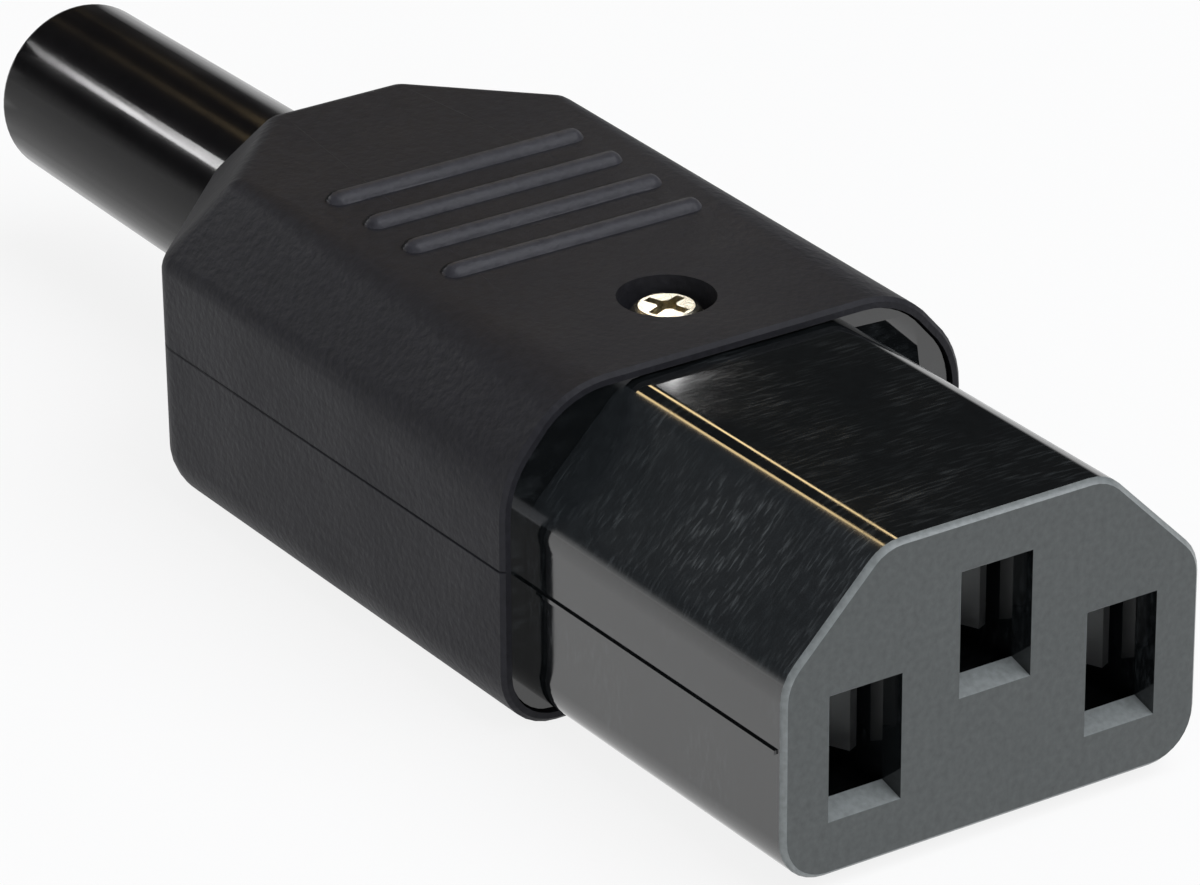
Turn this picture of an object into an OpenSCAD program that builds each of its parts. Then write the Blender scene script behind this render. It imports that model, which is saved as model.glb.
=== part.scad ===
// Rewireable female appliance connector: a glossy contact nose held between two
// half shells, spring contacts with pillar terminals, a cord clamp and a bend sleeve.
// Origin: on the engagement face, midway between the two line contacts.
// +X points out of the face towards the inlet, +Y is right seen from the front, +Z up.

/* [Contact layout] */
// Distance between the centres of the two line contacts
line_pitch = 14; // [13.6:0.1:14.4]
// Height of the earth contact above the line contacts
earth_rise = 4; // [3.6:0.1:4.4]
// Height of the outline's centre above the line contacts
outline_rise = 1.9; // [1.5:0.1:2.3]
// Height of an inlet blade, and so of a contact leaf
blade_h = 4; // [3.6:0.1:4.4]
// Thickness of an inlet blade
blade_t = 2; // [1.8:0.1:2.2]

/* [Nose] */
// Width of the nose
nose_w = 22.8; // [22.6:0.1:23.2]
// Height of the nose
nose_h = 15.4; // [15:0.1:15.8]
// Length of the nose in front of the housing
nose_len = 19.8; // [18.6:0.2:22]
// Size of the two coding chamfers at the top
nose_chamfer = 5.3; // [4.9:0.1:5.5]
// Corner radius of the nose outline
nose_r = 2.4; // [1:0.2:2.6]
// Bevel round the engagement face
face_bevel = 0.25; // [0.1:0.05:0.4]
// Thickness of the front plate that the slots go through
face_t = 1.2; // [0.9:0.1:1.6]
// Width of a slot at the face
slot_w = 3.9; // [3.4:0.1:4.2]
// Height of a slot at the face
slot_h = 6.2; // [5.6:0.1:6.4]
// Lead-in of the slot's two long walls
slot_lead = 0.15; // [0.05:0.05:0.3]
// Lead-in of the slot's two short walls
slot_lead_h = 0.5; // [0.2:0.05:0.7]
// Width of the chamber behind a slot
chamber_w = 4.8; // [4.4:0.1:5]
// Height of the chamber behind a slot
chamber_h = 7; // [6.6:0.1:7.2]
// Depth of the mould line's ridge along both flanks
witness_h = 0.12; // [0.05:0.01:0.2]
// Height of the mould line above the line contacts
witness_z = 0.9; // [0.5:0.1:1.3]

/* [Insert flange] */
// Thickness of the flange at the root of the nose
flange_t = 1.7; // [1.3:0.1:2]
// Depth of the flange behind the shells' rim
flange_set = 0.25; // [0:0.05:0.4]
// Length of the hooks behind the flange that lock into the shells
hook_len = 1.5; // [1.2:0.1:1.8]

/* [Housing] */
// Width of the housing
body_w = 25.7; // [25.4:0.1:27]
// Height of the housing
body_h = 16.7; // [16.4:0.1:18]
// Length of the housing
body_len = 37.6; // [36.8:0.2:42]
// Length of the rear corners that are cut off at 45 degrees
taper = 7.8; // [7:0.1:8]
// Width of the bevel round the top
bevel_w = 3.45; // [3:0.05:3.8]
// Height of the bevel round the top
bevel_h = 3.95; // [3.4:0.05:4.4]
// Rounding of the bevel's two edges at the housing's front
front_edge_r = 5; // [3:0.1:5.5]
// Rounding of the bevel's two edges at the housing's rear
rear_edge_r = 1.6; // [1:0.1:2.6]
// Rounding of the bottom edge
base_r = 3; // [2.4:0.1:3.2]
// Wall thickness of the shells
wall = 1.8; // [1.5:0.1:2]
// Thickness of the shells' rim round the flange
rim = 0.5; // [0.45:0.05:0.8]
// Bevel on the outer edge of that rim
rim_bevel = 0.2; // [0.1:0.05:0.3]
// Height of the lip that registers the two shells
lip_h = 0.8; // [0.5:0.1:1.2]

/* [Grip ribs] */
// Number of ribs across the top
rib_count = 4; // [2:1:5]
// Length of a rib
rib_len = 14.5; // [10:0.5:16]
// Width of a rib
rib_w = 1.35; // [1:0.05:1.6]
// Height of a rib
rib_h = 0.45; // [0.2:0.05:0.8]
// Distance between ribs
rib_pitch = 3.35; // [2.8:0.05:3.8]
// Distance from the housing's front to the middle of the ribs
rib_pos = 18.4; // [17:0.1:20]

/* [Case screw] */
// Distance from the housing's front to the case screw
case_screw_pos = 5.6; // [5.5:0.1:6]
// Radius of the case screw's shank
case_screw_r = 1.45; // [1.2:0.05:1.5]
// Radius of the case screw's head
case_head_r = 1.85; // [1.8:0.05:2.1]
// Height of the case screw's head
case_head_h = 1.7; // [1.4:0.1:2]
// Depth of the head's top below the housing
case_head_set = 0.45; // [0.2:0.05:0.8]
// Gap round the head in its counterbore
case_head_gap = 0.5; // [0.2:0.05:0.5]
// Width of the nut across its flats
nut_af = 5.5; // [5:0.1:5.6]
// Height of the nut
nut_h = 2.4; // [1.8:0.1:2.6]

/* [Terminals] */
// Width of a terminal block
block_w = 5.2; // [4.8:0.1:5.4]
// Length of a terminal block
block_len = 7; // [6:0.1:7.4]
// Height of a terminal block
block_h = 6; // [5.6:0.1:6.2]
// Radius of the wire hole
wire_r = 1.6; // [1.4:0.05:1.7]
// Radius of a terminal screw's shank
term_screw_r = 1.2; // [1:0.05:1.3]
// Radius of a terminal screw's head
term_head_r = 2.1; // [1.8:0.05:2.2]
// Height of a terminal screw's head
term_head_h = 1.5; // [1.2:0.1:1.7]
// Thickness of the contact strip
strip_t = 0.6; // [0.5:0.05:0.7]
// Outward step of the line contacts' tails
tail_step = 0.8; // [0.6:0.1:0.9]
// Drop of the earth contact's tail below its leaves
earth_drop = 2; // [1.8:0.1:2.2]

/* [Cord end] */
// Radius of the cord that the clamp holds
cord_r = 3.5; // [3.2:0.1:3.6]
// Distance from the housing's front to the cord clamp
clamp_pos = 25.8; // [25:0.1:26.4]
// Thickness of the clamp bar
clamp_t = 2.6; // [2.2:0.1:3]
// Width of the clamp bar along the cord
clamp_len = 5; // [4.4:0.1:5.4]
// Radius of a clamp screw's shank
clamp_screw_r = 1.2; // [1:0.05:1.3]
// Radius of a clamp screw's head
clamp_head_r = 2.2; // [1.9:0.05:2.3]
// Radius of the sleeve where it leaves the housing
sleeve_r = 4.86; // [4.7:0.02:5]
// Radius of the sleeve at its free end
sleeve_tip_r = 4.62; // [4.5:0.02:4.8]
// Length of the sleeve behind the housing
sleeve_len = 22.2; // [16:0.2:30]
// Radius of the collar that the shells hold
collar_r = 6; // [5.7:0.05:6.1]
// Thickness of that collar
collar_t = 1.8; // [1.4:0.1:2]

/* [Hidden] */
$fn = 48;
hull_fn = 32;
// gap between pieces that sit in each other, and a small overlap inside one piece
fit = 0.1;
eps = 0.01;

half_w = body_w / 2;
top_z = outline_rise + body_h / 2;
base_z = outline_rise - body_h / 2;
front_x = -nose_len;
rear_x = front_x - body_len;
flange_x = front_x - flange_set;
seat_x = flange_x - flange_t - fit;
// bulkhead of the shells between the flange and the hooks
bulk_t = 1.1;
bulk_x = seat_x - bulk_t;
hook_x = bulk_x - fit;
hook_end = hook_x - hook_len;
// height span and side of the cheeks that carry the hooks
cheek_in = line_pitch / 2 - 2.7;
cheek_out = line_pitch / 2 + 3;
cheek_h = blade_h / 2 + 1.2;
passage_w = 4;
passage_h = blade_h + 0.6;
// earth contact's tail passes the screw pillar on the left
pillar_r = case_screw_r + 1.4;
screw_x = front_x - case_screw_pos;
earth_side = pillar_r + 0.35 + strip_t / 2;
earth_tail_z = earth_rise - earth_drop;
tail_h = 2.6;
line_tail_y = line_pitch / 2 + tail_step;
line_block_x = hook_end - fit;
earth_block_x = line_block_x - block_len + 0.3;
block_mid = block_len / 2;
screw_lift = 0.6;
// cord end
clamp_x = front_x - clamp_pos;
post_r = clamp_screw_r + 1.2;
post_y = cord_r + 1.3 + post_r;
post_top = outline_rise + 0.6;
cavity_end = rear_x + 6.2;
collar_x = rear_x + 3.2;
bore_r = cord_r + 0.1;
// counterbore and nut pocket
head_seat_z = top_z - case_head_set - case_head_h;
nut_roof_z = base_z + nut_h + 0.85;
nut_pocket_r = (nut_af + 2 * fit) / sqrt(3);

// bevel's slope, and how far a rounding circle sits inside its two faces
bevel_l = sqrt(bevel_w * bevel_w + bevel_h * bevel_h);
bevel_ny = bevel_h / bevel_l;
bevel_nz = bevel_w / bevel_l;
function low_edge_z(r) = top_z - bevel_h - r * (1 - bevel_ny) / bevel_nz;
function high_edge_in(r) = bevel_w + r * (1 - bevel_nz) / bevel_ny;

// rear corners of the plan, moved inwards by d
function side_corner(d) = [rear_x + taper + d * (sqrt(2) - 1), half_w - d];
function rear_corner(d) = [rear_x + d, half_w - taper + d * (1 - sqrt(2))];
// mitred outline of a strip of thickness t along a path
function dir(a, b) = (b - a) / norm(b - a);
function normal(p, i) =
    let (a = dir(p[max(i - 1, 0)], p[max(i, 1)]), b = dir(p[min(i, len(p) - 2)], p[min(i + 1, len(p) - 1)]),
        m = dir([0, 0], a + b)) [-m[1], m[0]] / (m * a);
function strip_points(p, t) = concat([for (i = [0:len(p) - 1]) p[i] + normal(p, i) * t / 2],
    [for (i = [len(p) - 1:-1:0]) p[i] - normal(p, i) * t / 2]);

// a Y-Z outline made solid from x0 forward to x1
module along_x(x0, x1) {
    translate([x0, 0, 0]) rotate([90, 0, 90]) linear_extrude(x1 - x0) children();
}

// box given by its two corners
module span(a, b) {
    translate(a) cube(b - a);
}

// both mirror images, left and right
module both_sides() {
    children();
    mirror([0, 1, 0]) children();
}

// nose outline: a rectangle with two 45 degree top chamfers and round corners
module nose_outline(w, h, c, r) {
    k = r * tan(22.5);
    translate([0, outline_rise]) hull() for (s = [-1, 1]) {
        translate([s * (w / 2 - r), r - h / 2]) circle(r, $fn = hull_fn);
        translate([s * (w / 2 - r), h / 2 - c - k]) circle(r, $fn = hull_fn);
        translate([s * (w / 2 - c - k), h / 2 - r]) circle(r, $fn = hull_fn);
    }
}

// housing's Y-Z outline at the front, moved inwards
module body_outline(inset) {
    r = front_edge_r;
    hull() for (s = [-1, 1]) {
        translate([s * (half_w - base_r), base_z + base_r]) circle(base_r - inset, $fn = hull_fn);
        translate([s * (half_w - r), low_edge_z(r)]) circle(r - inset, $fn = 48);
        translate([s * (half_w - high_edge_in(r)), top_z - r]) circle(r - inset, $fn = 48);
    }
}

// ball at both rear corners of the plan
module rear_balls(r, inset, z) {
    for (s = [-1, 1], c = [side_corner(inset), rear_corner(inset)])
        translate([c[0], s * c[1], z]) sphere(r, $fn = hull_fn);
}

// slab that narrows to the rear, so that in a hull only its front outline counts
module front_slab(x, inset) {
    translate([x, 0, 0]) rotate([90, 0, 90]) mirror([0, 0, 1])
        linear_extrude(0.5, scale = 0.9) body_outline(inset);
}

// closed outer form of the whole housing: its bevel is crisp at the rear and
// melts into a round shoulder at the front
module body_form() {
    hull() {
        front_slab(front_x - rim_bevel, 0);
        front_slab(front_x, rim_bevel);
        rear_balls(base_r, base_r, base_z + base_r);
        rear_balls(rear_edge_r, rear_edge_r, low_edge_z(rear_edge_r));
        rear_balls(rear_edge_r, high_edge_in(rear_edge_r), top_z - rear_edge_r);
    }
}

// plan of the cavity at one height, moved inwards by d from the outer faces
module cavity_slice(d, z) {
    c = side_corner(d);
    e = [cavity_end, half_w - taper + (cavity_end - rear_x) - d * sqrt(2)];
    translate([0, 0, z]) linear_extrude(eps)
        polygon([[seat_x + eps, half_w - d], c, e, [e[0], -e[1]], [c[0], -c[1]], [seat_x + eps, d - half_w]]);
}

module cavity() {
    hull() {
        cavity_slice(wall + 1.2, base_z + wall);
        cavity_slice(wall, base_z + wall + 1.2);
        cavity_slice(wall, top_z - bevel_h - 0.3);
        cavity_slice(bevel_w + wall - 0.5, top_z - wall - eps);
    }
}

// space for the insert, the cord and the sleeve, common to both shells
module shell_space() {
    difference() {
        cavity();
        // bulkhead that the insert's hooks close on
        difference() {
            span([bulk_x, -half_w, base_z], [seat_x + 2 * eps, half_w, top_z]);
            span([bulk_x - 1, -cheek_out - fit, -cheek_h - fit],
                [seat_x + 1, cheek_out + fit, earth_rise + blade_h / 2 + 0.5]);
        }
    }
    along_x(seat_x, front_x + 1) body_outline(rim);
    translate([0, 0, outline_rise]) rotate([0, 90, 0]) {
        translate([0, 0, rear_x - 1]) cylinder(r = sleeve_r + fit, h = 5);
        translate([0, 0, collar_x - fit]) cylinder(r = collar_r + fit, h = collar_t + 2 * fit);
        translate([0, 0, collar_x]) cylinder(r = cord_r + 0.6, h = 5);
    }
}

// the two side lips of the lower shell, or with a gap the grooves for them
module lips(gap) {
    both_sides() span([side_corner(wall)[0] + 2 - gap, half_w - wall - eps, outline_rise - 1],
        [bulk_x - 1 + gap, half_w - wall / 2 + gap, outline_rise + lip_h + gap]);
}

// four parallel ribs with a round back and round ends
module grip_ribs() {
    r = (rib_w * rib_w / 4 + rib_h * rib_h) / (2 * rib_h);
    for (i = [0:rib_count - 1])
        translate([front_x - rib_pos + (i - (rib_count - 1) / 2) * rib_pitch, 0, top_z + rib_h - r])
            rotate([90, 0, 0]) {
                cylinder(r = r, h = rib_len - rib_w, center = true, $fn = 32);
                for (s = [-1, 1]) translate([0, 0, s * (rib_len - rib_w) / 2]) sphere(r, $fn = 32);
            }
}

module upper_shell() color([0.19, 0.18, 0.19]) {
    difference() {
        union() {
            difference() {
                intersection() {
                    body_form();
                    span([rear_x - 1, -half_w - 1, outline_rise], [front_x + 1, half_w + 1, top_z + 1]);
                }
                shell_space();
                lips(fit);
            }
            translate([screw_x, 0, outline_rise]) cylinder(r = pillar_r, h = head_seat_z - outline_rise);
            translate([screw_x, 0, head_seat_z - 1])
                cylinder(r = case_head_r + case_head_gap + 1, h = top_z - wall - head_seat_z + 1.5);
            grip_ribs();
        }
        translate([screw_x, 0, outline_rise - 1]) cylinder(r = case_screw_r + fit, h = body_h);
        translate([screw_x, 0, head_seat_z]) cylinder(r = case_head_r + case_head_gap, h = body_h);
    }
}

// seat under a terminal block, with a stop behind it that leaves the wire hole free
module block_seat(x, y, z) {
    span([x - block_len, y - block_w / 2 + 0.4, base_z + wall - 0.5],
        [x, y + block_w / 2 - 0.4, z - block_h / 2]);
    span([x - block_len - fit - 1, y - block_w / 2 + 0.4, base_z + wall - 0.5],
        [x - block_len - fit, y + block_w / 2 - 0.4, z - wire_r - 0.2]);
}

module lower_shell() color([0.18, 0.17, 0.18]) {
    floor_z = base_z + wall - 0.5;
    difference() {
        union() {
            difference() {
                intersection() {
                    body_form();
                    span([rear_x - 1, -half_w - 1, base_z - 1], [front_x + 1, half_w + 1, outline_rise]);
                }
                shell_space();
            }
            lips(0);
            // pillar over the nut, wider below
            translate([screw_x, 0, floor_z]) {
                cylinder(r = pillar_r, h = outline_rise - floor_z);
                cylinder(r = nut_pocket_r + 0.7, h = nut_roof_z + 1.4 - floor_z);
            }
            both_sides() {
                block_seat(line_block_x, line_tail_y, 0);
                // insulating barrier between a line terminal and the earth strip
                span([line_block_x - block_len, earth_side + strip_t / 2 + 0.3, floor_z],
                    [line_block_x, line_tail_y - block_w / 2 - 0.2, earth_tail_z + tail_h / 2 + 1]);
                // post for a clamp screw
                translate([clamp_x, post_y, floor_z]) cylinder(r = post_r, h = post_top - floor_z);
            }
            block_seat(earth_block_x, 0, earth_tail_z);
            // cradle under the cord, with three gripping ridges
            difference() {
                union() {
                    span([clamp_x - clamp_len / 2, -cord_r - 1, floor_z],
                        [clamp_x + clamp_len / 2, cord_r + 1, outline_rise - 1.6]);
                }
                translate([clamp_x - clamp_len, 0, outline_rise]) rotate([0, 90, 0])
                    cylinder(r = cord_r + 0.4, h = 2 * clamp_len);
            }
            for (i = [-1:1]) translate([clamp_x + i * clamp_len / 3, 0, outline_rise]) difference() {
                span([-0.3, -cord_r + 0.6, -cord_r - 1], [0.3, cord_r - 0.6, -2]);
                translate([-1, 0, 0]) rotate([0, 90, 0]) cylinder(r = cord_r, h = 2);
            }
        }
        // the flange's seat stays free
        span([seat_x, -half_w / 2, base_z + rim + 2 * eps], [front_x, half_w / 2, outline_rise + 1]);
        translate([screw_x, 0, base_z - 1]) {
            cylinder(r = case_screw_r + fit, h = body_h);
            rotate([0, 0, 30]) cylinder(r = nut_pocket_r, h = nut_roof_z - base_z + 1, $fn = 6);
        }
        both_sides() translate([clamp_x, post_y, outline_rise - 5]) cylinder(r = clamp_screw_r, h = 10);
    }
}

// slot with sloping lead-in, then the chamber for the spring leaves
module slot_space(y, z) {
    hull() {
        span([-eps, y - slot_w / 2, z - slot_h / 2], [1, y + slot_w / 2, z + slot_h / 2]);
        span([-face_t - eps, y - slot_w / 2 + slot_lead, z - slot_h / 2 + slot_lead_h],
            [-face_t, y + slot_w / 2 - slot_lead, z + slot_h / 2 - slot_lead_h]);
    }
    span([front_x + 1.4, y - chamber_w / 2, z - chamber_h / 2], [-face_t, y + chamber_w / 2, z + chamber_h / 2]);
    span([hook_end - 1, y - passage_w / 2, z - passage_h / 2],
        [front_x + 2, y + passage_w / 2, z + passage_h / 2]);
}

module nose_insert() color([0.07, 0.08, 0.08]) {
    difference() {
        union() {
            hull() {
                along_x(-face_bevel, 0) nose_outline(nose_w - 2 * face_bevel, nose_h - 2 * face_bevel,
                    nose_chamfer - 0.586 * face_bevel, nose_r - face_bevel);
                along_x(flange_x - 1, -face_bevel) nose_outline(nose_w, nose_h, nose_chamfer, nose_r);
            }
            along_x(flange_x - flange_t, flange_x) body_outline(rim + fit);
            both_sides() {
                // mould line along the flank
                span([flange_x - 0.5, nose_w / 2 - 0.2, witness_z - 0.1],
                    [-2 * face_bevel, nose_w / 2 + witness_h, witness_z + 0.1]);
                // cheek and hook
                span([hook_end, cheek_in, -cheek_h], [flange_x - 1, cheek_out, cheek_h]);
                span([hook_end, cheek_in, -cheek_h - 1.1], [hook_x, cheek_out, cheek_h + 1.1]);
            }
        }
        for (s = [-1, 1]) slot_space(s * line_pitch / 2, 0);
        slot_space(0, earth_rise);
        // way out for the earth contact's cranked tail
        span([hook_end - 1, -earth_side - strip_t / 2 - 0.15, earth_tail_z - tail_h / 2 - 0.2],
            [front_x + 2, passage_w / 2, earth_rise + passage_h / 2]);
    }
}

// strip of sheet metal on edge, x counted backwards from the face
module edge_strip(path, t, z, h) {
    translate([0, 0, z - h / 2]) mirror([1, 0, 0]) linear_extrude(h) polygon(strip_points(path, t));
}

leaf_in = blade_t / 2 + strip_t / 2;
// one spring leaf: flared lip, pinch, straight run and the bend to the middle
leaf_path = [[3.3, leaf_in + 0.45], [4.8, leaf_in - 0.25], [8, leaf_in], [15.4, leaf_in],
    [16.6, leaf_in - 0.4], [17.2, 0.15], [17.2, -0.2]];

module leaves(z) {
    edge_strip(leaf_path, strip_t, z, blade_h);
    mirror([0, 1, 0]) edge_strip(leaf_path, strip_t, z, blade_h);
}

module line_contact(s) {
    end = -line_block_x + block_len - 0.5;
    translate([0, s * line_pitch / 2, 0]) {
        leaves(0);
        mirror([0, (1 - s) / 2, 0]) edge_strip([[17, 0], [19.6, 0], [21.6, tail_step], [end, tail_step]],
            strip_t, 0, tail_h);
    }
}

module contact_left() color([0.80, 0.68, 0.38]) line_contact(-1);
module contact_right() color([0.80, 0.68, 0.38]) line_contact(1);
module contact_earth() color([0.80, 0.68, 0.38]) {
    turn = -earth_block_x - 2.9;
    leaves(earth_rise);
    edge_strip([[15, -leaf_in], [17.4, -leaf_in - 0.1], [19.8, -earth_side], [turn, -earth_side], [-earth_block_x - 0.4, 0],
        [-earth_block_x + block_len - 0.5, 0]], strip_t, earth_tail_z, tail_h);
}

// pillar terminal: wire hole along X, screw hole from above
module terminal_block(x, y, z) {
    color([0.78, 0.64, 0.34]) translate([x - block_mid, y, z]) difference() {
        linear_extrude(block_h, center = true) polygon([for (a = [0:3], b = [0, 1])
            let (sx = [1, -1, -1, 1][a], sy = [1, 1, -1, -1][a], f = (a + b) % 2)
            [sx * (block_mid - 0.4 * f), sy * (block_w / 2 - 0.4 * (1 - f))]]);
        rotate([0, 90, 0]) cylinder(r = wire_r, h = block_len + 2, center = true);
        cylinder(r = term_screw_r + fit / 2, h = block_h);
    }
}

module terminal_left() terminal_block(line_block_x, -line_tail_y, 0);
module terminal_right() terminal_block(line_block_x, line_tail_y, 0);
module terminal_earth() terminal_block(earth_block_x, 0, earth_tail_z);

// slotted cheese-head screw standing on the tail that it clamps
module terminal_screw(x, y, z) {
    head_z = z + block_h / 2 + screw_lift;
    color([0.80, 0.80, 0.78]) translate([x - block_mid, y, 0]) difference() {
        union() {
            translate([0, 0, z + tail_h / 2 + 0.05]) cylinder(r = term_screw_r, h = head_z - z - tail_h / 2);
            translate([0, 0, head_z]) cylinder(r = term_head_r, h = term_head_h);
        }
        span([-term_head_r - 1, -0.35, head_z + term_head_h - 0.8], [term_head_r + 1, 0.35, head_z + 5]);
    }
}

module terminal_screw_left() terminal_screw(line_block_x, -line_tail_y, 0);
module terminal_screw_right() terminal_screw(line_block_x, line_tail_y, 0);
module terminal_screw_earth() terminal_screw(earth_block_x, 0, earth_tail_z);

// domed screw head with a tapered cross recess, standing on z = 0
module cross_head(r, h) {
    difference() {
        rotate_extrude() polygon(concat([[0, 0], [r, 0], [r, h * 0.45]],
            [for (a = [15:15:90]) [r * (0.62 + 0.38 * cos(a)) * (a < 90 ? 1 : 0), h * (0.45 + 0.55 * sin(a))]]));
        for (a = [0, 90]) rotate([0, 0, a + 20])
            span([-r * 0.62, -r * 0.13, h * 0.45], [r * 0.62, r * 0.13, 2 * h]);
        translate([0, 0, h * 0.3]) cylinder(r = r * 0.26, h = 2 * h, $fn = 24);
    }
}

module case_screw() color([0.82, 0.80, 0.72]) {
    length = head_seat_z - base_z - 0.4;
    translate([screw_x, 0, head_seat_z]) {
        cross_head(case_head_r, case_head_h);
        translate([0, 0, -length]) cylinder(r = case_screw_r, h = length + 0.3);
    }
}

module case_nut() color([0.72, 0.70, 0.62]) {
    translate([screw_x, 0, nut_roof_z - nut_h]) difference() {
        rotate([0, 0, 30]) cylinder(r = nut_af / sqrt(3), h = nut_h, $fn = 6);
        translate([0, 0, -1]) cylinder(r = case_screw_r + fit / 2, h = nut_h + 2);
    }
}

module cord_clamp() color([0.16, 0.16, 0.17]) {
    half = post_y + post_r;
    difference() {
        translate([clamp_x, 0, post_top]) linear_extrude(clamp_t) hull() for (s = [-1, 1])
            translate([0, s * (half - clamp_len / 2)]) circle(d = clamp_len, $fn = hull_fn);
        translate([clamp_x - clamp_len, 0, outline_rise]) rotate([0, 90, 0])
            cylinder(r = cord_r - 0.9, h = 2 * clamp_len);
        both_sides() translate([clamp_x, post_y, 0]) cylinder(r = clamp_screw_r + fit, h = top_z);
    }
}

module cord_clamp_screws() color([0.80, 0.80, 0.78]) {
    both_sides() translate([clamp_x, post_y, post_top + clamp_t]) {
        cross_head(clamp_head_r, 1.5);
        translate([0, 0, -clamp_t - 5]) cylinder(r = clamp_screw_r - fit / 2, h = clamp_t + 5.3);
    }
}

// sleeve turned about the cord's axis, with a collar and a rounded free end
module cord_sleeve() color([0.13, 0.13, 0.13]) {
    tip = rear_x - sleeve_len;
    end_r = 0.4;
    translate([0, 0, outline_rise]) rotate([0, 90, 0]) rotate_extrude() polygon(concat(
        [[bore_r, tip]],
        [for (a = [0:15:90]) [sleeve_tip_r - end_r + end_r * sin(a), tip + end_r - end_r * cos(a)]],
        [[sleeve_r, rear_x], [sleeve_r, collar_x], [collar_r, collar_x], [collar_r, collar_x + collar_t],
            [bore_r, collar_x + collar_t]]));
}

nose_insert();
upper_shell();
lower_shell();
contact_left();
contact_right();
contact_earth();
terminal_left();
terminal_right();
terminal_earth();
terminal_screw_left();
terminal_screw_right();
terminal_screw_earth();
case_screw();
case_nut();
cord_clamp();
cord_clamp_screws();
cord_sleeve();
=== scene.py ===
from math import radians
import bpy
from mathutils import Matrix, Vector


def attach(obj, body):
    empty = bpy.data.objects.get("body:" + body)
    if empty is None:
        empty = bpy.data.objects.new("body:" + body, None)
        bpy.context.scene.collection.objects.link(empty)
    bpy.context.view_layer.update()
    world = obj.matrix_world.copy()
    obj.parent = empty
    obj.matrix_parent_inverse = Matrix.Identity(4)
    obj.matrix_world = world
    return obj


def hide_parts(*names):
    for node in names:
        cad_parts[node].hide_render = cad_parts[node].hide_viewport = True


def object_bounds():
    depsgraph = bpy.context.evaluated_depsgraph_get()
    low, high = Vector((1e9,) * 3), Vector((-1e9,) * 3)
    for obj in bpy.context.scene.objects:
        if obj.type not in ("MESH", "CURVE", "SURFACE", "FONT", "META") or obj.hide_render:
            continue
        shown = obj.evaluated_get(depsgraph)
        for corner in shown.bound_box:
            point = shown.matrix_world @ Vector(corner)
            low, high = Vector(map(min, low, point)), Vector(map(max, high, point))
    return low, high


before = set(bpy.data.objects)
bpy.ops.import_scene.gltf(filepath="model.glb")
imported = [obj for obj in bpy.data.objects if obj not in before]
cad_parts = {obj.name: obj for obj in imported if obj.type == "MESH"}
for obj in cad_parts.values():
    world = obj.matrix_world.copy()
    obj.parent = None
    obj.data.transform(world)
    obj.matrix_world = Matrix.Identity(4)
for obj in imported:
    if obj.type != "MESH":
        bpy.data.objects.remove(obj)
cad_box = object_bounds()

scene = bpy.context.scene
scene.view_settings.view_transform = "Standard"
MM = 0.001

# Camera
# A long lens looks down on the connector from in front of it and to its left, so that the
# face with the slots, the nose, the housing and the sleeve all show.
look = Vector((-0.747619, 0.503174, -0.433453))
up = Vector((-0.357171, 0.245613, 0.901168))
stand = Vector((0.219529, -0.168573, 0.145772))
camera = bpy.data.objects.new("camera", bpy.data.cameras.new("camera"))
scene.collection.objects.link(camera)
scene.camera = camera
camera.data.sensor_width = 36
camera.data.lens = 213.154
camera.data.clip_start = 0.01
turn = Matrix((look.cross(up), up, -look)).transposed()
camera.matrix_world = Matrix.Translation(stand) @ turn.to_4x4()


# Paper sweep and room
# The connector lies on white paper in a room that is dark overhead and pale low down. Its
# upright sides mirror the paper, and its top mirrors the dark.
def srgb(text):
    """An sRGB hex colour turned linear, with alpha 1."""
    parts = [int(text[i:i + 2], 16) / 255 for i in (1, 3, 5)]
    return [c / 12.92 if c <= 0.04045 else ((c + 0.055) / 1.055) ** 2.4 for c in parts] + [1.0]


def add(tree, kind, links=None, inputs=None, **settings):
    """A shader node with its settings, the values of its inputs and what is linked to them."""
    node = tree.nodes.new(kind)
    for name, value in settings.items():
        setattr(node, name, value)
    for name, value in (inputs or {}).items():
        node.inputs[name].default_value = value
    for name, source in (links or {}).items():
        tree.links.new(source, node.inputs[name])
    return node


def clear_tree(owner):
    """The empty node tree of a material or world."""
    owner.use_nodes = True
    owner.node_tree.nodes.clear()
    return owner.node_tree


sweep_size = 3
under_part = 0.02 * MM
white_share = 0.85  # the rest is real paper, which takes the shadow
low, high = cad_box
bpy.ops.object.select_all(action="DESELECT")
bpy.ops.mesh.primitive_plane_add(size=sweep_size, location=(-0.04, 0, low.z - under_part))
sweep = bpy.context.object
sweep.name = "sweep"

# Matt white paper: an even pale ground with a soft shadow
sweep_paint = bpy.data.materials.new("white_paper_sweep")
tree = clear_tree(sweep_paint)
rays = add(tree, "ShaderNodeLightPath").outputs
seen = add(tree, "ShaderNodeMath", {0: rays["Is Camera Ray"], 1: rays["Is Glossy Ray"]},
           operation="MAXIMUM")
seen = add(tree, "ShaderNodeMath", {0: seen.outputs[0], 1: rays["Is Transmission Ray"]},
           operation="MAXIMUM")
share = add(tree, "ShaderNodeMath", {0: seen.outputs[0]}, {1: white_share}, operation="MULTIPLY")
paper = add(tree, "ShaderNodeBsdfDiffuse", inputs={"Color": srgb("#ececec")})
white = add(tree, "ShaderNodeEmission", inputs={"Color": srgb("#ffffff"), "Strength": 1.0})
mix = add(tree, "ShaderNodeMixShader",
          {0: share.outputs[0], 1: paper.outputs[0], 2: white.outputs[0]})
add(tree, "ShaderNodeOutputMaterial", {0: mix.outputs[0]})
sweep.data.materials.append(sweep_paint)

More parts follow.
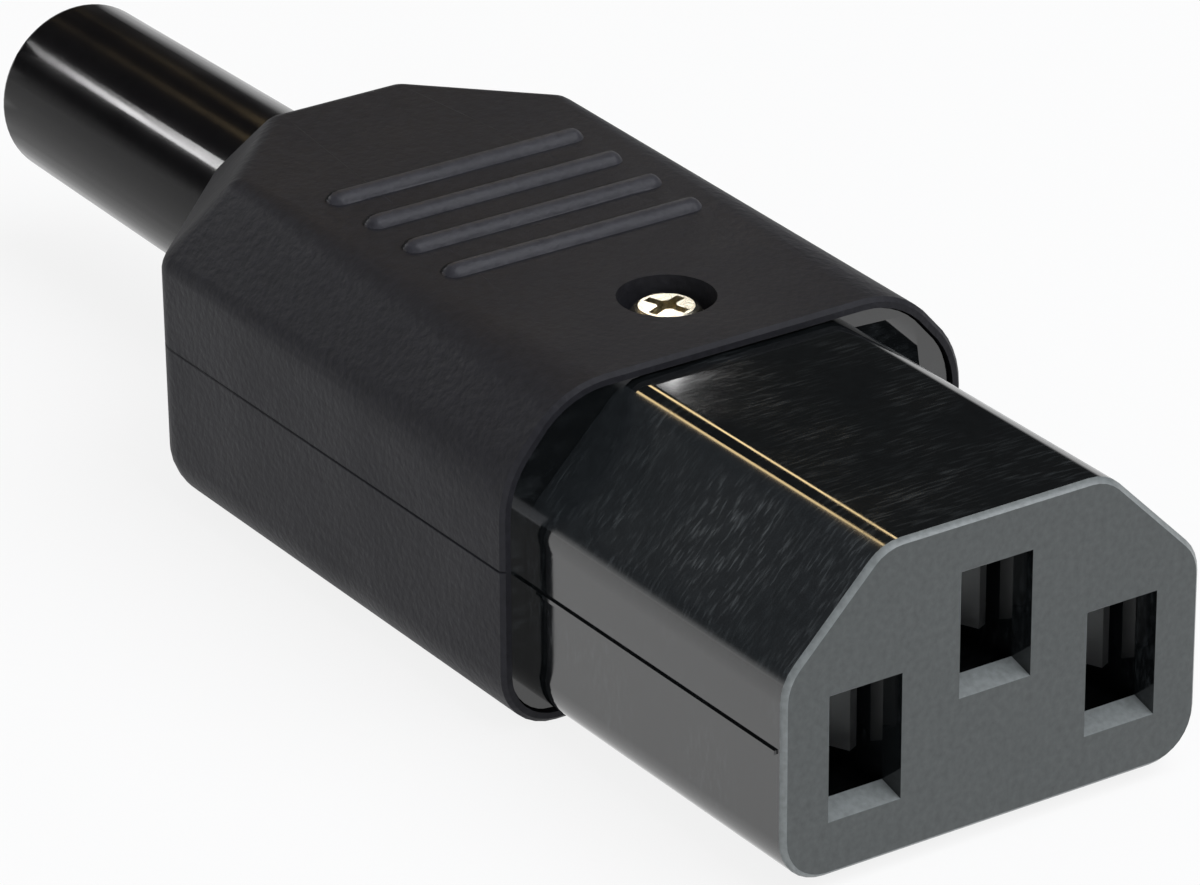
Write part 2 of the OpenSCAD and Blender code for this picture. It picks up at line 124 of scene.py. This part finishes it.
diffuse_level = 0.4
room = bpy.data.worlds.new("dark_room")
scene.world = room
tree = clear_tree(room)
rays = add(tree, "ShaderNodeLightPath").outputs
way = add(tree, "ShaderNodeTexCoord")
way = add(tree, "ShaderNodeSeparateXYZ", {0: way.outputs["Generated"]})
rise = add(tree, "ShaderNodeMapRange", {0: way.outputs["Z"]},
           {"From Min": 0.02, "From Max": 0.2, "To Min": 1.0, "To Max": 0.02},
           interpolation_type="SMOOTHSTEP")
gloss = add(tree, "ShaderNodeMix", {0: rays["Is Glossy Ray"], 3: rise.outputs[0]},
            {2: diffuse_level})
level = add(tree, "ShaderNodeMath", {0: gloss.outputs[0], 1: rays["Is Camera Ray"]},
            operation="MAXIMUM")
level = add(tree, "ShaderNodeMath", {0: level.outputs[0], 1: rays["Is Transmission Ray"]},
            operation="MAXIMUM")
back = add(tree, "ShaderNodeBackground", {1: level.outputs[0]}, {0: srgb("#ffffff")})
add(tree, "ShaderNodeOutputWorld", {0: back.outputs[0]})


# Lamps
# Two soft boxes give the light. The rest show only as reflections and are set for this
# camera: a dim one for the nose's left shoulder, two warm tubes for the lines beside it,
# and small ones for the sleeve's stripe and the screw head.
def lamp(name, aim, direction, distance, size, power, colour, matt=True):
    """A rectangular lamp that faces aim from a direction, its long side along X."""
    data = bpy.data.lights.new(name, "AREA")
    data.shape = "RECTANGLE"
    data.size, data.size_y = size
    data.energy = power
    data.color = srgb(colour)[:3]
    thing = bpy.data.objects.new(name, data)
    scene.collection.objects.link(thing)
    toward = Vector(direction).normalized()
    x = Vector((1, 0, 0))
    x = (x - toward * x.dot(toward)).normalized()
    turn = Matrix((x, toward.cross(x), toward)).transposed()
    thing.matrix_world = Matrix.Translation(Vector(aim) + toward * distance) @ turn.to_4x4()
    thing.visible_diffuse = matt
    thing.visible_camera = False


middle = (-0.03, 0, 0)
lamp("softbox_above", middle, (0.5, 0.4, 1), 0.6, (0.6, 0.6), 3.5, "#f8faff")
lamp("softbox_front", middle, (0.8, -0.9, 0.15), 0.9, (0.5, 0.3), 1.8, "#f6f8ff")
lamp("softbox_behind", (-0.01, -0.009, 0.006), (-0.7476, -0.433, 0.503), 0.9, (1.3, 1.0), 0.12,
     "#f0f6ff", False)
lamp("tube_left", (-0.012, -0.0055, 0.009), (-0.7476, 0.0843, 0.6593), 0.7, (0.14, 0.05), 0.13,
     "#ffe0a8", False)
lamp("tube_right", (-0.012, -0.0054, 0.009), (-0.7476, 0.4203, 0.5141), 0.7, (0.12, 0.045), 0.11,
     "#ffe0a8", False)
lamp("window", (-0.074, -0.003, 0.005), (-0.7476, -0.42, 0.51), 0.1, (0.022, 0.009), 0.02,
     "#ffffff", False)
lamp("screw_light", (-0.0254, 0, 0.0098), (-0.7476, 0.503, 0.4335), 0.05, (0.005, 0.005), 0.0004,
     "#ffffff", False)


# Nose insert
# One moulding of glass-filled PBT with the three blade slots, pushed into the shells up to
# its flange. Its sides come from a polished mould and its face from a spark-eroded one.
def skin(node, angle=35):
    """A copy of a CAD node as one smooth skin, which stands for it."""
    weld = 0.01 * MM
    bpy.ops.object.select_all(action="DESELECT")
    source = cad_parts[node]
    piece = bpy.data.objects.new(node + "_moulding", source.data.copy())
    scene.collection.objects.link(piece)
    bpy.context.view_layer.objects.active = piece
    piece.select_set(True)
    bpy.ops.object.mode_set(mode="EDIT")
    bpy.ops.mesh.select_all(action="SELECT")
    bpy.ops.mesh.remove_doubles(threshold=weld)
    bpy.ops.mesh.dissolve_degenerate(threshold=weld)
    bpy.ops.mesh.dissolve_limited(angle_limit=radians(0.6))
    bpy.ops.object.mode_set(mode="OBJECT")
    bpy.ops.object.shade_smooth_by_angle(angle=radians(angle))
    bpy.ops.object.modifier_add(type="WEIGHTED_NORMAL")
    piece.modifiers[-1].keep_sharp = True
    piece.modifiers[-1].weight = 100
    bpy.ops.object.modifier_apply(modifier=piece.modifiers[-1].name)
    piece.data.materials.clear()
    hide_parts(node)
    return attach(piece, "root")


def moulded(name, colour, roughness, level, grain, depth, rubs=0.0):
    """A moulded plastic: grain and depth of its texture in mm, and how much rub marks show."""
    material = bpy.data.materials.new(name)
    tree = clear_tree(material)
    place = add(tree, "ShaderNodeTexCoord").outputs["Object"]
    fine = add(tree, "ShaderNodeTexNoise", {"Vector": place},
               {"Scale": 1 / (grain * MM), "Detail": 3.0})
    # patches 5 mm across, in which the gloss wanders
    cloud = add(tree, "ShaderNodeTexNoise", {"Vector": place},
                {"Scale": 1 / (5 * MM), "Detail": 2.0})
    bump = add(tree, "ShaderNodeBump", {"Height": fine.outputs[0]},
               {"Strength": 1.0, "Distance": depth * MM})
    tone = add(tree, "ShaderNodeMapRange", {0: fine.outputs[0]},
               {"From Min": 0.25, "From Max": 0.75, "To Min": 0.82, "To Max": 1.18})
    tint = add(tree, "ShaderNodeVectorMath", {1: tone.outputs[0]}, {0: srgb(colour)[:3]},
               operation="MULTIPLY")
    rough = add(tree, "ShaderNodeMapRange", {0: cloud.outputs[0]},
                {"From Min": 0.3, "From Max": 0.7,
                 "To Min": roughness - 0.03, "To Max": roughness + 0.03})
    paint, gloss = tint.outputs[0], rough.outputs[0]
    if rubs:
        # slanting hair marks, 0.2 by 1.4 mm, coarser than real ones so that they show
        comb = add(tree, "ShaderNodeMapping", {"Vector": place},
                   {"Rotation": (0.5, 0.7, 0.4), "Scale": (6000, 700, 1500)})
        marks = add(tree, "ShaderNodeTexNoise", {"Vector": comb.outputs[0]},
                    {"Scale": 1.0, "Detail": 3.0})
        marks = add(tree, "ShaderNodeMapRange", {0: marks.outputs[0]},
                    {"From Min": 0.5, "From Max": 0.85})
        patch = add(tree, "ShaderNodeMapRange", {0: cloud.outputs[0]},
                    {"From Min": 0.35, "From Max": 0.65, "To Max": rubs})
        marks = add(tree, "ShaderNodeMath", {0: marks.outputs[0], 1: patch.outputs[0]},
                    operation="MULTIPLY")
        lighter = add(tree, "ShaderNodeMix", {0: marks.outputs[0], 6: tint.outputs[0]},
                      {7: srgb("#5c6265")}, data_type="RGBA")
        duller = add(tree, "ShaderNodeMath", {0: marks.outputs[0], 2: rough.outputs[0]},
                     {1: 0.35}, operation="MULTIPLY_ADD")
        paint, gloss = lighter.outputs[2], duller.outputs[0]
    shader = add(tree, "ShaderNodeBsdfPrincipled",
                 {"Base Color": paint, "Roughness": gloss, "Normal": bump.outputs[0]},
                 {"Specular IOR Level": level})
    add(tree, "ShaderNodeOutputMaterial", {0: shader.outputs[0]})
    return material


nose = skin("nose_insert")
sides, front, edge_highlight_paint, scuffed = 0, 1, 2, 3
for finish in (
        # PBT from a polished mould: deep black that mirrors the room, a few hair marks
        moulded("polished_pbt", "#0f1112", 0.08, 1.0, 0.6, 0.0006, rubs=0.3),
        # PBT from an eroded mould: satin grey, faintly mottled
        moulded("eroded_pbt_face", "#464a4a", 0.45, 0.5, 0.35, 0.012),
        # PBT painted pale as a highlight: a painted highlight line round the face and along the
        # slots' lips, where these edges catch the light
        moulded("pbt_edge_painted_highlight", "#767b7b", 0.4, 0.5, 0.3, 0.004),
        # PBT scuffed all over by inlets: charcoal, half glossy
        moulded("scuffed_pbt_shoulder", "#1e2123", 0.16, 0.8, 0.6, 0.001, rubs=0.5)):
    nose.data.materials.append(finish)
for face in nose.data.polygons:
    spot, way = face.center, face.normal
    in_slot = abs(spot.y) < 9.3 * MM and -3.4 * MM < spot.z < 1.5 * MM
    ledge = in_slot and spot.x > -1.3 * MM and way.z > 0.5
    edge = spot.x > -0.4 * MM and 0.3 < way.x < 0.95
    shoulder = abs(way.y) > 0.4 and way.z > 0.4 and spot.z > 4 * MM and spot.x > -19.5 * MM
    # the bevels round the face and the slots' bottom ledges take the painted highlight
    if ledge or edge:
        face.material_index = edge_highlight_paint
    elif shoulder:
        face.material_index = scuffed
    elif spot.x > -0.05 * MM:
        face.material_index = front
    else:
        face.material_index = sides

# Half shells
# Two nylon mouldings from a spark-eroded mould, screwed together round the insert. A fine
# groove runs along their joint, and the upper one has four ribs for the fingers.

# Nylon with an eroded grain, drawn 0.4 mm wide so that it shows: an even soft black
nylon = moulded("eroded_nylon", "#232327", 0.52, 0.14, 0.4, 0.05)
# Nylon painted a little paler as a highlight on the ribs' forward and top faces, and a little
# shinier, which picks out the ribs
rib_highlight_paint = moulded("nylon_rib_painted_highlight", "#313136", 0.45, 0.25, 0.4, 0.05)
# Nylon painted darker and duller on the ribs' rearward faces: a painted shade behind each rib
rib_shade_paint = moulded("nylon_rib_painted_shade", "#0f0f11", 0.6, 0.1, 0.4, 0.05)
body, rib_front, rib_rear = 0, 1, 2
parting = 1.9 * MM
groove = 0.07 * MM
rib_foot = 10.26 * MM
for node in ("upper_shell", "lower_shell"):
    shell = skin(node, 28)
    bpy.ops.object.mode_set(mode="EDIT")
    bpy.ops.mesh.select_all(action="DESELECT")
    bpy.ops.object.mode_set(mode="OBJECT")
    outer = set()
    for face in shell.data.polygons:
        spot, way = face.center, face.normal
        outward = way.y * spot.y > 0 and abs(spot.y) > 6 * MM
        if outward and abs(way.y) > 0.6 and abs(way.z) < 0.4:
            outer.update(face.edge_keys)
    for edge in shell.data.edges:
        ends = [shell.data.vertices[i].co for i in edge.vertices]
        at_joint = all(abs(end.z - parting) < 0.01 * MM for end in ends)
        edge.select = edge.key in outer and at_joint
    bpy.ops.object.mode_set(mode="EDIT")
    bpy.ops.mesh.select_mode(type="EDGE")
    bpy.ops.mesh.bevel(offset=groove, segments=1)
    bpy.ops.object.mode_set(mode="OBJECT")
    for finish in (nylon, rib_highlight_paint, rib_shade_paint):
        shell.data.materials.append(finish)
    # rib faces turned forward take the painted highlight, rib faces turned back the painted
    # shade
    for face in shell.data.polygons:
        on_rib = face.center.z > rib_foot
        if on_rib and face.normal.x > -0.1:
            face.material_index = rib_front
        elif on_rib:
            face.material_index = rib_rear
        else:
            face.material_index = body

# Cord sleeve
# A plain tapering tube of soft PVC that guards the cord where it leaves the housing. Its
# collar is held between the shells.
sleeve = skin("cord_sleeve")
# Smooth soft PVC: black with long soft lines of light
sleeve.data.materials.append(moulded("soft_pvc", "#0e0d0e", 0.17, 0.16, 0.5, 0.0015))


# Spring contacts
# Three tinned bronze strips that grip the inlet's blades. They are pressed and folded, sit
# in the insert's chambers, and show only in the slots.
def plated(name, colour, roughness, grain):
    """A plated or rolled metal with faint marks, grain in mm."""
    material = bpy.data.materials.new(name)
    tree = clear_tree(material)
    place = add(tree, "ShaderNodeTexCoord").outputs["Object"]
    cloud = add(tree, "ShaderNodeTexNoise", {"Vector": place},
                {"Scale": 1 / (grain * MM), "Detail": 3.0})
    rough = add(tree, "ShaderNodeMapRange", {0: cloud.outputs[0]},
                {"From Min": 0.3, "From Max": 0.7,
                 "To Min": roughness - 0.05, "To Max": roughness + 0.08})
    bump = add(tree, "ShaderNodeBump", {"Height": cloud.outputs[0]},
               {"Strength": 1.0, "Distance": 0.002 * MM})
    shader = add(tree, "ShaderNodeBsdfPrincipled",
                 {"Roughness": rough.outputs[0], "Normal": bump.outputs[0]},
                 {"Base Color": srgb(colour), "Metallic": 1.0})
    add(tree, "ShaderNodeOutputMaterial", {0: shader.outputs[0]})
    return material


def coat(nodes, material):
    """Gives CAD nodes their material."""
    for node in nodes:
        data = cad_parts[node].data
        data.materials.clear()
        data.materials.append(material)


# Bronze strip with dipped tin: pale grey, half dull
coat(("contact_left", "contact_right", "contact_earth"),
     plated("tinned_bronze_strip", "#b6b8b8", 0.42, 0.4))

# Terminals and their screws
# Pillar blocks of turned brass, each closed by a zinc-plated steel screw. The nut of the
# case screw and the screws of the cord clamp are zinc-plated steel too.

# Turned brass: warm yellow, fairly bright
coat(("terminal_left", "terminal_right", "terminal_earth"),
     plated("turned_brass", "#c9a860", 0.3, 0.3))
# Steel with bright zinc: cool grey, a little cloudy
coat(("terminal_screw_left", "terminal_screw_right", "terminal_screw_earth",
      "cord_clamp_screws", "case_nut"),
     plated("zinc_plated_steel", "#b9bab8", 0.35, 0.3))

# Case screw
# One cross-recess screw of nickel-plated steel, sunk in the upper shell, which pulls the
# shells together against the nut.

# Steel with bright nickel: a clean shine, slightly warm
coat(("case_screw",), plated("nickel_plated_steel", "#e9e2cf", 0.2, 0.25))

# Cord clamp
# A bar of the same nylon as the shells, moulded with a hollow for the cord. Two screws
# pull it down, so that a tug on the cord doesn't reach the terminals.
coat(("cord_clamp",), nylon)
